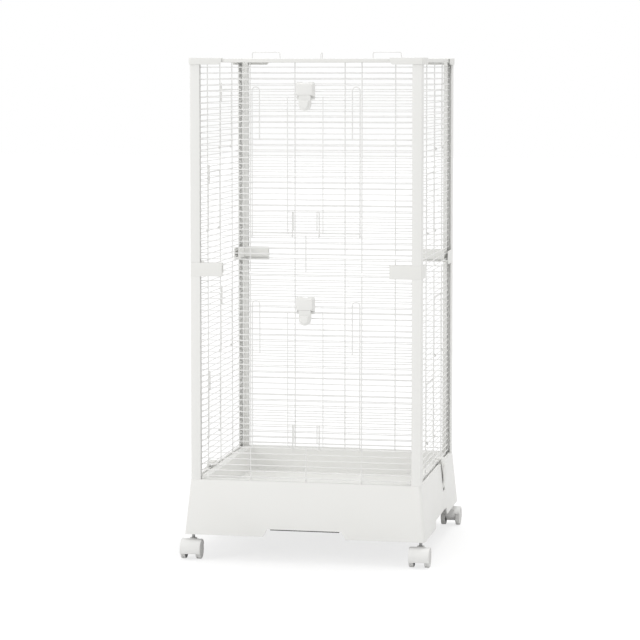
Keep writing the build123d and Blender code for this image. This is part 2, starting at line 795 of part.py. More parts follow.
def make_roof():
    end = half_width - rail_inner_inset
    depth_end = half_depth - rail_inner_inset
    doorway = roof_doorway / 2
    cut = range(roof_door_front_row + 1, roof_door_hinge_row)
    numbers = range(-outer_roof_row, outer_roof_row + 1)
    whole = [n for n in numbers if n not in cut and n != roof_door_hinge_row]
    split = [n for n in cut if n != handle_row]
    first = roof_row(roof_door_front_row)
    last = roof_row(roof_door_hinge_row)
    piece = end - doorway + column_wire / 2
    with BuildPart() as rows:
        with BuildSketch(Plane.XY.offset(plate_bottom)):
            with Locations(*[(0, roof_row(n)) for n in whole]):
                Rectangle(2 * end, row_wire)
            for sign in (-1, 1):
                with Locations(*[(sign * (end - piece / 2), roof_row(n)) for n in split]):
                    Rectangle(piece, row_wire)
        extrude(amount=-row_wire)
        # Round wires that the roof door and the handles turn on
        with BuildSketch(Plane.YZ.offset(-end)):
            with Locations((last, roof_level())):
                RegularPolygon(row_wire / 2, pin_sides)
        extrude(amount=2 * end)
        for start in (-end, end - piece):
            with BuildSketch(Plane.YZ.offset(start)):
                with Locations((roof_row(handle_row), roof_level())):
                    RegularPolygon(row_wire / 2, pin_sides)
            extrude(amount=piece)
    with BuildPart() as columns:
        with BuildSketch(Plane.XY.offset(plate_bottom - row_wire)):
            with Locations((-roof_outer_column, 0), (roof_outer_column, 0)):
                Rectangle(column_wire, 2 * roof_row(outer_roof_row) + row_wire)
            for position in (roof_middle_column, doorway):
                with Locations((-position, 0), (position, 0)):
                    Rectangle(column_wire, 2 * depth_end)
            for inner, outer in ((first - row_wire / 2, -depth_end), (last + row_wire / 2, depth_end)):
                with Locations((0, (inner + outer) / 2)):
                    Rectangle(column_wire, abs(outer - inner))
        extrude(amount=-column_wire)
    weld("roof_panel", rows.part, columns.part)

    leg = doorway - column_wire - door_gap
    front = roof_row(roof_door_front_row + 1) - column_wire / 2
    with BuildPart() as frame:
        with BuildSketch(Plane.XY.offset(plate_bottom - row_wire)):
            draw_arch(-leg, leg, last, last, front, door_corner_radius, column_wire)
        extrude(amount=-column_wire)
        for position in (-leg, leg):
            with BuildSketch(Plane.YZ.offset(position - column_wire / 2)):
                with Locations((last, roof_level())):
                    Rectangle(eye_size, eye_size)
            extrude(amount=column_wire)
        for position in (-leg, leg):
            with BuildSketch(Plane.YZ.offset(position - column_wire / 2 - 1)):
                with Locations((last, roof_level())):
                    Rectangle(eye_hole, eye_hole)
            extrude(amount=column_wire + 2, mode=Mode.SUBTRACT)
    with BuildPart() as door_rows:
        with BuildSketch(Plane.XY.offset(plate_bottom)):
            with Locations(*[(0, roof_row(n)) for n in cut]):
                Rectangle(2 * leg + column_wire, row_wire)
        extrude(amount=-row_wire)
    with BuildPart() as pull:
        pull_start = roof_row(pull_row)
        pull_end = pull_start + pull_length
        pull_bar = plate_bottom + pull_height - row_wire / 2
        with BuildSketch(Plane.YZ.offset(-row_wire / 2)):
            draw_arch(
                pull_start, pull_end, plate_bottom, plate_bottom, pull_bar, pull_radius, row_wire
            )
        extrude(amount=row_wire)
    weld("roof_door", frame.part, door_rows.part, pull.part)


def make_handle(name, sign):
    left, right = sorted((sign * handle_inner, sign * handle_outer))
    height = roof_level() + handle_height - column_wire / 2
    middle = roof_row(handle_row)
    with BuildPart() as handle:
        with BuildSketch(Plane.XZ.offset(-middle - column_wire / 2)):
            draw_arch(
                left, right, roof_level(), roof_level(), height, handle_radius, column_wire
            )
        extrude(amount=column_wire)
        for position in (left, right):
            with BuildSketch(Plane.YZ.offset(position - column_wire / 2)):
                with Locations((middle, roof_level())):
                    Rectangle(eye_size, eye_size)
            extrude(amount=column_wire)
        for position in (left, right):
            with BuildSketch(Plane.YZ.offset(position - column_wire / 2 - 1)):
                with Locations((middle, roof_level())):
                    Rectangle(eye_hole, eye_hole)
            extrude(amount=column_wire + 2, mode=Mode.SUBTRACT)
    finish(handle.part, name)


def make_clip(name, side):
    middle = clip_offset * (1 if side == "right" else -1) * along[side][1]
    pivot = (clip_pivot_out(), rim - clip_pivot_drop)
    held = level(lower_top, rows_per_panel - 2) + row_wire / 2
    hook = held + clip_wire_gap
    arm = clip_arm_gap
    with BuildPart() as clip:
        with BuildSketch(section_plane(side, middle + clip_width / 2)):
            with Locations(pivot):
                draw_round(clip_knuckle_radius, pin_sides)
            # Arm up the skirt, over the rim and in between two wires to a snap nose
            with BuildLine():
                Polyline(
                    pivot,
                    (pivot[0] + clip_knuckle_radius, pivot[1]),
                    (pivot[0] + clip_knuckle_radius + 2.2, pivot[1] + 9),
                    (arm + clip_thickness + 2.5, rim - 8),
                    (arm + clip_thickness + 5, rim - 2),
                    (arm + clip_thickness, rim + 2),
                    (arm + clip_thickness - 1, hook + clip_thickness - 1),
                    (arm + clip_thickness - 3, hook + clip_thickness),
                    (-column_outer - clip_hook_gap - 2, hook + clip_thickness),
                    (-column_outer - clip_hook_gap - 2, held - clip_hook_overlap),
                    (-column_outer - clip_hook_gap, held - clip_hook_overlap),
                    (-column_outer - clip_hook_gap, hook),
                    (0, hook),
                    (arm, hook - 2),
                    (arm, rim),
                    (arm + 2.2, rim - 14),
                    (pivot[0] + clip_knuckle_radius - 0.6, pivot[1] + 12),
                    close=True,
                )
            make_face()
        extrude(amount=clip_width)
        with BuildSketch(section_plane(side, middle + clip_width / 2 + clip_pin_length)):
            with Locations(pivot):
                draw_round(clip_pin_radius, pin_sides)
        extrude(amount=clip_width + 2 * clip_pin_length)
    finish(clip.part, name)


def make_stems():
    with BuildPart() as stems:
        with BuildSketch(Plane.XY.offset(stem_bottom)):
            with Locations(*stem_places()):
                draw_round(stem_radius, pin_sides)
        extrude(amount=stem_top - stem_bottom)
        with BuildSketch(Plane.XY.offset(base_clearance + socket_rise - stem_collar_height)):
            with Locations(*stem_places()):
                draw_round(stem_collar_radius, 2 * pin_sides)
        extrude(amount=stem_collar_height)
    finish(stems.part, "caster_stems")


def make_caster(name, place):
    stem_x, stem_y = place
    facing = 1 if stem_y > 0 else -1
    axle_y = stem_y + facing * caster_trail
    inner = wheel_radius + hood_clearance
    outer = inner + hood_wall
    hood_top = wheel_radius + outer
    width = wheel_track + wheel_width
    side = Plane(origin=(stem_x - width / 2, axle_y, wheel_radius), x_dir=(0, 1, 0), z_dir=(1, 0, 0))
    fork = side.offset((width - fork_thickness) / 2)
    drop = (hood_front_rise - wheel_radius) / outer
    start = degrees(atan(drop))
    with BuildPart() as hood:
        # Arched cover over both wheels, cut open behind and below
        with BuildSketch(side):
            draw_round(outer, round_sides, inside=True)
            draw_round(inner, round_sides, inside=True, mode=Mode.SUBTRACT)
            with BuildLine():
                Polyline(
                    (0, 0),
                    (facing * 2 * outer, 2 * outer * drop),
                    (facing * 2 * outer, -2 * outer),
                    (-facing * 2 * outer, -2 * outer),
                    (-facing * 2 * outer, 0.9 * outer),
                    close=True,
                )
            make_face(mode=Mode.SUBTRACT)
        extrude(amount=width)
        # Block between the wheels, from the axle to the stem
        with BuildSketch(fork):
            draw_round(fork_radius, 2 * pin_sides)
            with BuildLine():
                Polyline(
                    (facing * fork_radius, 0),
                    (facing * 0.8 * inner, 0.6 * inner + 1),
                    (0, inner + 1),
                    (-facing * (caster_trail + 2), hood_top - wheel_radius - hood_wall),
                    (-facing * (caster_trail + stem_housing_radius), 16),
                    (-facing * (caster_trail + stem_housing_radius), 4),
                    (-facing * fork_radius * 0.6, -fork_radius * 0.7),
                    close=True,
                )
            make_face()
        extrude(amount=fork_thickness)
        with BuildSketch(Plane.XY.offset(stem_bottom)):
            with Locations(place):
                draw_round(stem_housing_radius, 2 * pin_sides)
        extrude(amount=hood_top - stem_bottom)
        with BuildSketch(Plane.XY.offset(stem_bottom - 1)):
            with Locations(place):
                draw_round(stem_radius + running_clearance, pin_sides, inside=True)
        extrude(amount=hood_top, mode=Mode.SUBTRACT)
        with BuildSketch(side):
            draw_round(axle_radius + running_clearance, pin_sides, inside=True)
        extrude(amount=width, mode=Mode.SUBTRACT)
    finish(hood.part, f"caster_hood_{name}")

    outer_face = width / 2
    inner_face = outer_face - wheel_width
    with BuildPart() as wheels:
        with BuildSketch(side):
            draw_round(axle_radius, pin_sides)
        extrude(amount=width)
        for start in (0, outer_face + inner_face):
            with BuildSketch(side.offset(start)):
                draw_round(wheel_radius, round_sides, inside=True)
            extrude(amount=wheel_width)
        rims = wheels.faces().sort_by(Axis.X)
        chamfer([*rims[0].edges(), *rims[-1].edges()], wheel_bevel)
    finish(wheels.part, f"caster_wheels_{name}")


make_tray()

corners = {"front_left": (-1, -1), "front_right": (1, -1), "rear_left": (-1, 1), "rear_right": (1, 1)}
for corner_name, (sign_x, sign_y) in corners.items():
    make_post(f"post_lower_{corner_name}", sign_x, sign_y, rim, joiner_bottom)
    make_post(f"post_upper_{corner_name}", sign_x, sign_y, joiner_top, plate_bottom)
    make_joiner(f"joiner_{corner_name}", sign_x, sign_y)
    make_cap(f"top_cap_{corner_name}", sign_x, sign_y)
make_rails()

high = (high_door_top_row, high_door_hinge_row)
low = (low_door_top_row, low_door_hinge_row)
half_doorway = front_doorway / 2
for section, top in (("upper", upper_top), ("lower", lower_top)):
    front = (-half_doorway, half_doorway, front_door_top_row, front_door_hinge_row)
    make_panel(
        f"panel_front_{section}",
        "front",
        top,
        (-half_doorway, half_doorway),
        [front],
        [(0, front_door_hinge_row)],
    )
    make_panel(
        f"panel_back_{section}", "back", top, (-end_column_spacing, 0, end_column_spacing)
    )
    make_front_door(f"front_door_{section}", top)
    make_hatch(f"hatch_{section}", top)
    make_latch(section, top)
    for side in ("left", "right"):
        # The high door is in the rear half of the side and the low door in the front half
        rear = (0, side_column_spacing) if side == "right" else (-side_column_spacing, 0)
        fore = (-side_column_spacing, 0) if side == "right" else (0, side_column_spacing)
        columns = (-side_column_spacing, 0, side_column_spacing)
        make_panel(f"panel_{side}_{section}", side, top, columns, [(*rear, *high), (*fore, *low)])
        make_side_door(f"side_door_{side}_{section}_high", side, top, *rear, *high)
        make_side_door(f"side_door_{side}_{section}_low", side, top, *fore, *low)

make_roof()
make_handle("roof_handle_left", -1)
make_handle("roof_handle_right", 1)
make_clip("base_clip_left", "left")
make_clip("base_clip_right", "right")
make_stems()
for place in stem_places():
    row_name = "front" if place[1] < 0 else "rear"
    column_name = "left" if place[0] < 0 else "right"
    make_caster(f"{row_name}_{column_name}", place)
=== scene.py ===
import math

import bmesh
import bpy
from mathutils import Matrix, Vector


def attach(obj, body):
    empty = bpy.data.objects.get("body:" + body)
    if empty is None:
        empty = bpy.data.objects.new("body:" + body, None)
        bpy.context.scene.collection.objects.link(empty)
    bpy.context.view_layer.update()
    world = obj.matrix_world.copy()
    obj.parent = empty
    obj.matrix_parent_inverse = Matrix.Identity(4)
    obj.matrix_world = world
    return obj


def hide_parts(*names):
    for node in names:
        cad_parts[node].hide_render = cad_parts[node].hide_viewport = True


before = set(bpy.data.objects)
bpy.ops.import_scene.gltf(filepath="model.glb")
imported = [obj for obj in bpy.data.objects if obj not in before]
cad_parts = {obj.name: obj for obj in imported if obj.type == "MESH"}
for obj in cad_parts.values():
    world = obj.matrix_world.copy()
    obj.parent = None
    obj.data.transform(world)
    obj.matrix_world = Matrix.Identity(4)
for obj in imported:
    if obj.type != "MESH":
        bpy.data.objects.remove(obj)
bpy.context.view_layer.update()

mm = 0.001  # the cage is worked out in millimetres; camera, lamps and floor are in metres

print("frame loaded:", len(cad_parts), "nodes")

cameraSetup = {
    "place": (0.885, -4.654, 0.942),
    "forward": (-0.1889, 0.9794, -0.0713),
    "up": (-0.0135, 0.0701, 0.9975),
    "lens": 135.23,
    "sensor": 36,
    "shiftY": -0.127,
    "near": 0.05,
    "far": 60,
}


def placeCamera(setup):
    data = bpy.data.cameras.new("cageCamera")
    data.lens = setup["lens"]
    data.sensor_width = setup["sensor"]
    data.shift_y = setup["shiftY"]
    data.clip_start = setup["near"]
    data.clip_end = setup["far"]
    camera = bpy.data.objects.new("cageCamera", data)
    bpy.context.scene.collection.objects.link(camera)
    back = -Vector(setup["forward"]).normalized()
    right = Vector(setup["up"]).cross(back).normalized()
    up = back.cross(right)
    turn = Matrix((right, up, back)).transposed()
    camera.matrix_world = Matrix.Translation(setup["place"]) @ turn.to_4x4()
    bpy.context.scene.camera = camera


placeCamera(cameraSetup)

lightSetup = {
    "sky": 0.82,  # even light from all round
    "skyColour": (1.0, 0.995, 0.985, 1),
    "lamps": {
        # place, aim, width, height, watts
        "windowLamp": ((-3.2, -2.4, 1.75), (0.0, 0.0, 0.5), 1.1, 1.1, 28),
        "frontLamp": ((0.4, -4.2, 2.6), (0.0, 0.0, 0.5), 2.4, 2.0, 15),
        "topLamp": ((0.2, 0.4, 3.4), (0.0, 0.0, 0.5), 2.2, 2.2, 52),
    },
}


def hangLamps(setup):
    for name, (place, aim, width, height, watts) in setup["lamps"].items():
        data = bpy.data.lights.new(name, "AREA")
        data.shape = "RECTANGLE"
        data.size = width
        data.size_y = height
        data.energy = watts
        lamp = bpy.data.objects.new(name, data)
        lamp.location = place
        lamp.rotation_euler = (Vector(aim) - Vector(place)).to_track_quat("-Z", "Y").to_euler()
        bpy.context.scene.collection.objects.link(lamp)


hangLamps(lightSetup)


def whiteSurroundings(setup):
    world = bpy.data.worlds.new("studio")
    bpy.context.scene.world = world
    world.use_nodes = True
    tree = world.node_tree
    tree.nodes.clear()
    output = tree.nodes.new("ShaderNodeOutputWorld")
    mix = tree.nodes.new("ShaderNodeMixShader")
    light = tree.nodes.new("ShaderNodeBackground")
    seen = tree.nodes.new("ShaderNodeBackground")
    path = tree.nodes.new("ShaderNodeLightPath")
    light.inputs["Color"].default_value = setup["skyColour"]
    light.inputs["Strength"].default_value = setup["sky"]
    seen.inputs["Color"].default_value = (1, 1, 1, 1)
    seen.inputs["Strength"].default_value = 1.0
    tree.links.new(path.outputs["Is Camera Ray"], mix.inputs["Fac"])
    tree.links.new(light.outputs[0], mix.inputs[1])
    tree.links.new(seen.outputs[0], mix.inputs[2])
    tree.links.new(mix.outputs[0], output.inputs[0])


whiteSurroundings(lightSetup)

floorSetup = {
    "size": 40.0,
    "white": 0.82,
    "glow": 1.1,
    "shadowReach": 0.9,
    "shadowCore": 0.25,  # share of the reach where the shadow is fullest
    "shadowDepth": 0.34,
}


def layFloor(setup):
    half = setup["size"] / 2
    mesh = bpy.data.meshes.new("studioFloor")
    edge = [(-half, -half, 0), (half, -half, 0), (half, half, 0), (-half, half, 0)]
    mesh.from_pydata(edge, [], [(0, 1, 2, 3)])
    floor = bpy.data.objects.new("studioFloor", mesh)
    bpy.context.scene.collection.objects.link(floor)
    material = bpy.data.materials.new("paleFloor")
    material.use_nodes = True
    tree = material.node_tree
    tree.nodes.clear()
    output = tree.nodes.new("ShaderNodeOutputMaterial")
    link = tree.links.new
    diffuse = tree.nodes.new("ShaderNodeBsdfDiffuse")
    diffuse.inputs["Color"].default_value = (setup["white"],) * 3 + (1,)
    glow = tree.nodes.new("ShaderNodeEmission")
    glow.inputs["Strength"].default_value = setup["glow"]
    # The soft shadow under the cage fades to white further out
    place = tree.nodes.new("ShaderNodeNewGeometry")
    distance = tree.nodes.new("ShaderNodeVectorMath")
    distance.operation = "LENGTH"
    fade = tree.nodes.new("ShaderNodeMapRange")
    fade.interpolation_type = "SMOOTHSTEP"
    fade.inputs["From Min"].default_value = setup["shadowReach"] * setup["shadowCore"]
    fade.inputs["From Max"].default_value = setup["shadowReach"]
    fade.inputs["To Min"].default_value = 1 - setup["shadowDepth"]
    fade.inputs["To Max"].default_value = 1.0
    share = tree.nodes.new("ShaderNodeMixShader")
    seen = tree.nodes.new("ShaderNodeMixShader")
    path = tree.nodes.new("ShaderNodeLightPath")
    either = tree.nodes.new("ShaderNodeMath")
    either.operation = "MAXIMUM"
    link(place.outputs["Position"], distance.inputs[0])
    link(distance.outputs["Value"], fade.inputs["Value"])
    link(fade.outputs["Result"], share.inputs["Fac"])
    link(path.outputs["Is Camera Ray"], either.inputs[0])
    link(path.outputs["Is Glossy Ray"], either.inputs[1])
    link(diffuse.outputs[0], share.inputs[1])
    link(glow.outputs[0], share.inputs[2])
    link(either.outputs[0], seen.inputs["Fac"])
    link(diffuse.outputs[0], seen.inputs[1])
    link(share.outputs[0], seen.inputs[2])
    link(seen.outputs[0], output.inputs[0])
    mesh.materials.append(material)


layFloor(floorSetup)
bpy.context.scene.view_settings.view_transform = "Standard"
print("camera, lamps and floor are set")

# Finishes. Grain and mottle are in features per metre, depth is the height of the grain in metres
finishes = {
    "basePlastic": {
        "colour": (0.80, 0.80, 0.785), "tint": (0.785, 0.785, 0.765), "rough": (0.38, 0.5),
        "mottle": 9, "grain": 1500, "depth": 0.00003, "stretch": (1, 1, 1), "metal": 0.0,
    },
    "postPlastic": {
        "colour": (0.80, 0.80, 0.785), "tint": (0.785, 0.787, 0.77), "rough": (0.34, 0.46),
        "mottle": 14, "grain": 900, "depth": 0.00002, "stretch": (1, 1, 0.03), "metal": 0.0,
    },
    "fittingPlastic": {
        "colour": (0.79, 0.79, 0.77), "tint": (0.77, 0.77, 0.75), "rough": (0.36, 0.48),
        "mottle": 22, "grain": 1300, "depth": 0.00003, "stretch": (1, 1, 1), "metal": 0.0,
    },
    "latchPlastic": {
        "colour": (0.80, 0.80, 0.785), "tint": (0.785, 0.785, 0.77), "rough": (0.3, 0.42),
        "mottle": 40, "grain": 1600, "depth": 0.00002, "stretch": (1, 1, 1), "metal": 0.0,
    },
    "hoodPlastic": {
        "colour": (0.77, 0.77, 0.76), "tint": (0.74, 0.74, 0.73), "rough": (0.35, 0.5),
        "mottle": 60, "grain": 1400, "depth": 0.00002, "stretch": (1, 1, 1), "metal": 0.0,
    },
    "wheelPlastic": {
        "colour": (0.70, 0.70, 0.69), "tint": (0.63, 0.63, 0.62), "rough": (0.55, 0.72),
        "mottle": 120, "grain": 2200, "depth": 0.00005, "stretch": (1, 1, 1), "metal": 0.0,
    },
    # Painted shade: near-black colour for the strips in the finger notches, which stand in for the
    # shade under their top edges
    "paintedShade": {
        "colour": (0.09, 0.09, 0.088), "tint": (0.06, 0.06, 0.06), "rough": (0.5, 0.65),
        "mottle": 40, "grain": 1500, "depth": 0.00003, "stretch": (1, 1, 1), "metal": 0.0,
    },
    # Painted shade: near-black colour for the discs inside the wheels, which stand in for the shade
    # between the wheels
    "paintedWheelShade": {
        "colour": (0.035, 0.035, 0.036), "tint": (0.02, 0.02, 0.02), "rough": (0.5, 0.65),
        "mottle": 120, "grain": 2200, "depth": 0.00005, "stretch": (1, 1, 1), "metal": 0.0,
    },
    "wireCoat": {
        "colour": (0.82, 0.82, 0.81), "tint": (0.77, 0.77, 0.76), "rough": (0.3, 0.45),
        "mottle": 60, "grain": 1700, "depth": 0.00004, "stretch": (1, 1, 1), "metal": 0.0,
    },
    "stemSteel": {
        "colour": (0.42, 0.42, 0.42), "tint": (0.3, 0.3, 0.3), "rough": (0.3, 0.45),
        "mottle": 200, "grain": 2500, "depth": 0.00003, "stretch": (0.2, 0.2, 3), "metal": 1.0,
    },
}


noiseSetup = {"mottleDetail": 5, "grainDetail": 2, "low": 0.3, "high": 0.7}


def mixFinish(name, look):
    material = bpy.data.materials.new(name)
    material.use_nodes = True
    tree = material.node_tree
    shader = tree.nodes["Principled BSDF"]
    shader.inputs["Metallic"].default_value = look["metal"]
    place = tree.nodes.new("ShaderNodeTexCoord")
    spread = tree.nodes.new("ShaderNodeMapping")
    spread.inputs["Scale"].default_value = look["stretch"]
    mottle = tree.nodes.new("ShaderNodeTexNoise")
    mottle.inputs["Scale"].default_value = look["mottle"]
    mottle.inputs["Detail"].default_value = noiseSetup["mottleDetail"]
    blend = tree.nodes.new("ShaderNodeMix")
    blend.data_type = "RGBA"
    blend.inputs["A"].default_value = look["colour"] + (1,)
    blend.inputs["B"].default_value = look["tint"] + (1,)
    sheen = tree.nodes.new("ShaderNodeMapRange")
    sheen.inputs["From Min"].default_value = noiseSetup["low"]
    sheen.inputs["From Max"].default_value = noiseSetup["high"]
    sheen.inputs["To Min"].default_value = look["rough"][0]
    sheen.inputs["To Max"].default_value = look["rough"][1]
    grain = tree.nodes.new("ShaderNodeTexNoise")
    grain.inputs["Scale"].default_value = look["grain"]
    grain.inputs["Detail"].default_value = noiseSetup["grainDetail"]
    bump = tree.nodes.new("ShaderNodeBump")
    bump.inputs["Strength"].default_value = 1.0
    bump.inputs["Distance"].default_value = look["depth"]
    link = tree.links.new
    link(place.outputs["Object"], spread.inputs["Vector"])
    link(spread.outputs["Vector"], mottle.inputs["Vector"])
    link(spread.outputs["Vector"], grain.inputs["Vector"])
    link(mottle.outputs["Fac"], blend.inputs["Factor"])
    link(blend.outputs["Result"], shader.inputs["Base Color"])
    link(mottle.outputs["Fac"], sheen.inputs["Value"])
    link(sheen.outputs["Result"], shader.inputs["Roughness"])
    link(grain.outputs["Fac"], bump.inputs["Height"])
    link(bump.outputs["Normal"], shader.inputs["Normal"])
    return material


materials = {name: mixFinish(name, look) for name, look in finishes.items()}
print("finishes mixed:", len(materials))


def addPiece(piece, body, finish, *nodes):
    bpy.context.scene.collection.objects.link(piece)
    piece.data.materials.append(materials[finish])
    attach(piece, body)
    if nodes:
        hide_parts(*nodes)
    return piece


# The cage's own measures, shared by the wires of all walls
cage = {
    "halfWidth": 223.0, "halfDepth": 215.0, "rim": 153.0,
    "rowPitch": 11.37, "lastRow": 35,
    "rowRadius": 0.9, "columnRadius": 1.1,
    "rowMiddle": -6.1, "columnMiddle": -8.1,  # from the faces of the posts, outwards
    "rowEnd": 11.6, "edgeColumn": 13.0,
    "sideColumn": 105.0, "frontColumn": 107.5,
}
cage["lowerTop"] = cage["rim"] - 4.15 + cage["lastRow"] * cage["rowPitch"]
cage["upperTop"] = cage["lowerTop"] + 7.95 + cage["lastRow"] * cage["rowPitch"]
cage["plateBottom"] = cage["upperTop"] + 4.6
cage["roofLevel"] = cage["plateBottom"] - cage["rowRadius"]
sectionTop = {"upper": cage["upperTop"], "lower": cage["lowerTop"]}

walls = {
    # outwards, along, distance of the post faces, half length
    "front": ((0, -1), (1, 0), cage["halfDepth"], cage["halfWidth"]),
    "back": ((0, 1), (-1, 0), cage["halfDepth"], cage["halfWidth"]),
    "left": ((-1, 0), (0, -1), cage["halfWidth"], cage["halfDepth"]),
    "right": ((1, 0), (0, 1), cage["halfWidth"], cage["halfDepth"]),
}


def onWall(side, u, n, z):
    out, along, face, _ = walls[side]
    return Vector((out[0] * (face + n) + along[0] * u, out[1] * (face + n) + along[1] * u, z))


def rowHeight(section, number):
    return sectionTop[section] - number * cage["rowPitch"]


bendShare = 0.49  # most of a straight length that one bend may use up


def bendWire(corners, radius, steps=6):
    # Rounds the corners of a bent wire; the ends stay where they are
    points = [Vector(corners[0])]
    for before, here, after in zip(corners, corners[1:], corners[2:]):
        here = Vector(here)
        inward = (Vector(before) - here).normalized()
        onward = (Vector(after) - here).normalized()
        half = inward.angle(onward) / 2
        longest = bendShare * min((Vector(before) - here).length, (Vector(after) - here).length)
        reach = min(radius / math.tan(half), longest)
        middle = here + (inward + onward).normalized() * (reach / math.cos(half))
        start = here + inward * reach - middle
        end = here + onward * reach - middle
        for step in range(steps + 1):
            points.append(middle + start.slerp(end, step / steps).normalized() * start.length)
    points.append(Vector(corners[-1]))
    return points


def drawWires(name, runs):
    # Each run is its points and the radius of its wire
    curve = bpy.data.curves.new(name, "CURVE")
    curve.dimensions = "3D"
    curve.bevel_depth = mm
    curve.bevel_resolution = 2
    curve.use_fill_caps = True
    for points, radius in runs:
        spline = curve.splines.new("POLY")
        spline.points.add(len(points) - 1)
        for slot, point in zip(spline.points, points):
            slot.co = (point[0] * mm, point[1] * mm, point[2] * mm, 1)
            slot.radius = radius
        spline.use_smooth = True
    return bpy.data.objects.new(name, curve)


def levelRun(side, start, end, out, height, radius):
    return ([onWall(side, start, out, height), onWall(side, end, out, height)], radius)


def rowRuns(side, section, numbers, start, end):
    out, radius = cage["rowMiddle"], cage["rowRadius"]
    return [levelRun(side, start, end, out, rowHeight(section, n), radius) for n in numbers]


def columnRun(side, u, low, high):
    out = cage["columnMiddle"]
    return ([onWall(side, u, out, low), onWall(side, u, out, high)], cage["columnRadius"])


# A doorway is its left column, its right column, the row above it and the row that it hinges on
doorways = {
    "front": [(-cage["frontColumn"], cage["frontColumn"], 4, 29)],
    "back": [],
    "left": [(-cage["sideColumn"], 0, 4, 15), (0, cage["sideColumn"], 18, 29)],
    "right": [(0, cage["sideColumn"], 4, 15), (-cage["sideColumn"], 0, 18, 29)],
}


def makePanel(side, section):
    end = walls[side][3] - cage["rowEnd"]
    edge = walls[side][3] - cage["edgeColumn"]
    low = rowHeight(section, cage["lastRow"]) - cage["rowRadius"]
    high = rowHeight(section, 0) + cage["rowRadius"]
    cut = {n for _, _, top, hinge in doorways[side] for n in range(top + 1, hinge)}
    whole = [n for n in range(cage["lastRow"] + 1) if n not in cut]
    runs = rowRuns(side, section, whole, -end, end)
    for left, right, top, hinge in doorways[side]:
        numbers = range(top + 1, hinge)
        runs += rowRuns(side, section, numbers, -end, left + cage["columnRadius"])
        runs += rowRuns(side, section, numbers, right - cage["columnRadius"], end)
    if side == "front":
        columns = [-cage["frontColumn"], cage["frontColumn"]]
    else:
        columns = [-cage["sideColumn"], 0, cage["sideColumn"]]
    runs += [columnRun(side, u, low, high) for u in [-edge, edge] + columns]
    if side == "front":
        # A short column under the doorway
        hinge = doorways[side][0][3]
        runs.append(columnRun(side, 0, low, rowHeight(section, hinge) + cage["rowRadius"]))
    piece = drawWires(f"{side}Wires{section.title()}", runs)
    addPiece(piece, "frame", "wireCoat", f"panel_{side}_{section}")


for side in walls:
    for section in sectionTop:
        makePanel(side, section)
print("wall panels drawn")


eye = {"gap": 0.03, "points": 15, "turn": 21}
eye["reach"] = cage["rowRadius"] + cage["columnRadius"] + eye["gap"]


def eyeLoop(start):
    # The loop of a wire round its hinge wire, as steps away from the hinge and up
    turns = [math.radians(start + step * eye["turn"]) for step in range(eye["points"])]
    return [(eye["reach"] * math.cos(turn), eye["reach"] * math.sin(turn)) for turn in turns]


def eyeRun(side, u, section, hinge):
    # The foot of an upright wire, bent once round the hinge wire
    centre = rowHeight(section, hinge)
    return [onWall(side, u, cage["rowMiddle"] + out, centre + up) for out, up in eyeLoop(180)]


sideDoor = {"gap": 1.5, "corner": 9.0}
doorCatch = {
    "width": 9.0, "thick": 1.4, "rows": 3,
    "lowBend": 5.7, "highBend": 4.7,  # below the row over the door
    "gap": 0.2, "rise": 3.0, "lip": 4.0, "soften": 0.3,
}


def makeDoorCatch(side, section, place, left, right, top, body):
    middle = (left + right) / 2 + (right - left) / 4
    border = rowHeight(section, top)
    foot = rowHeight(section, top + doorCatch["rows"])
    outer = cage["rowMiddle"] + cage["rowRadius"]
    inner = outer + doorCatch["gap"]
    front = outer + doorCatch["thick"]
    lip = inner + doorCatch["lip"]
    high = border + doorCatch["rise"]
    under = high - doorCatch["thick"]
    profile = [
        (outer, foot), (outer, border - doorCatch["lowBend"]),
        (inner, border - doorCatch["highBend"]), (inner, high),
        (lip, high), (lip, under), (front, under), (front, foot),
    ]
    half = doorCatch["width"] / 2
    ends = [[onWall(side, middle + shift, n, z) for n, z in profile] for shift in (-half, half)]
    name = f"doorCatch{side.title()}{section.title()}{place.title()}"
    addPiece(extrudeProfile(name, ends, doorCatch["soften"]), body, "latchPlastic", body)


def makeSideDoor(side, section, place, left, right, top, hinge):
    name = f"side_door_{side}_{section}_{place}"
    radius = cage["columnRadius"]
    start = left + radius + sideDoor["gap"]
    end = right - radius - sideDoor["gap"]
    arch = rowHeight(section, top + 1) + radius
    foot = rowHeight(section, hinge)
    legs = (start + radius, end - radius)
    places = [(legs[0], foot), (legs[0], arch), (legs[1], arch), (legs[1], foot)]
    bow = [onWall(side, u, cage["columnMiddle"], z) for u, z in places]
    leftEye = eyeRun(side, legs[0], section, hinge)
    rightEye = eyeRun(side, legs[1], section, hinge)
    path = leftEye[::-1] + bendWire(bow, sideDoor["corner"])[1:-1] + rightEye
    runs = [(path, radius)]
    runs += rowRuns(side, section, range(top + 1, hinge), start, end)
    piece = drawWires(f"sideDoor{side.title()}{section.title()}{place.title()}", runs)
    addPiece(piece, name, "wireCoat", name)
    makeDoorCatch(side, section, place, left, right, top, name)


def extrudeProfile(name, rings, soften):
    # Two or more rings of equal length joined into a closed solid with softened edges
    work = bmesh.new()
    loops = [[work.verts.new(point * mm) for point in ring] for ring in rings]
    for first, second in zip(loops, loops[1:]):
        for index in range(len(first)):
            after = (index + 1) % len(first)
            work.faces.new((first[index], first[after], second[after], second[index]))
    work.faces.new(loops[0][::-1])
    work.faces.new(loops[-1])
    bmesh.ops.recalc_face_normals(work, faces=work.faces)
    softenEdges(work, soften)
    return finishMesh(name, work)


def softenEdges(work, width, angle=28, segments=2):
    shared = [edge for edge in work.edges if len(edge.link_faces) == 2]
    edges = [edge for edge in shared if edge.calc_face_angle(0) > math.radians(angle)]
    bmesh.ops.bevel(
        work, geom=edges, offset=width * mm, segments=segments, profile=0.6,
        affect="EDGES", clamp_overlap=True,
    )


def finishMesh(name, work, smooth=40):
    mesh = bpy.data.meshes.new(name)
    work.to_mesh(mesh)
    work.free()
    mesh.shade_smooth()
    mesh.set_sharp_from_angle(angle=math.radians(smooth))
    return bpy.data.objects.new(name, mesh)


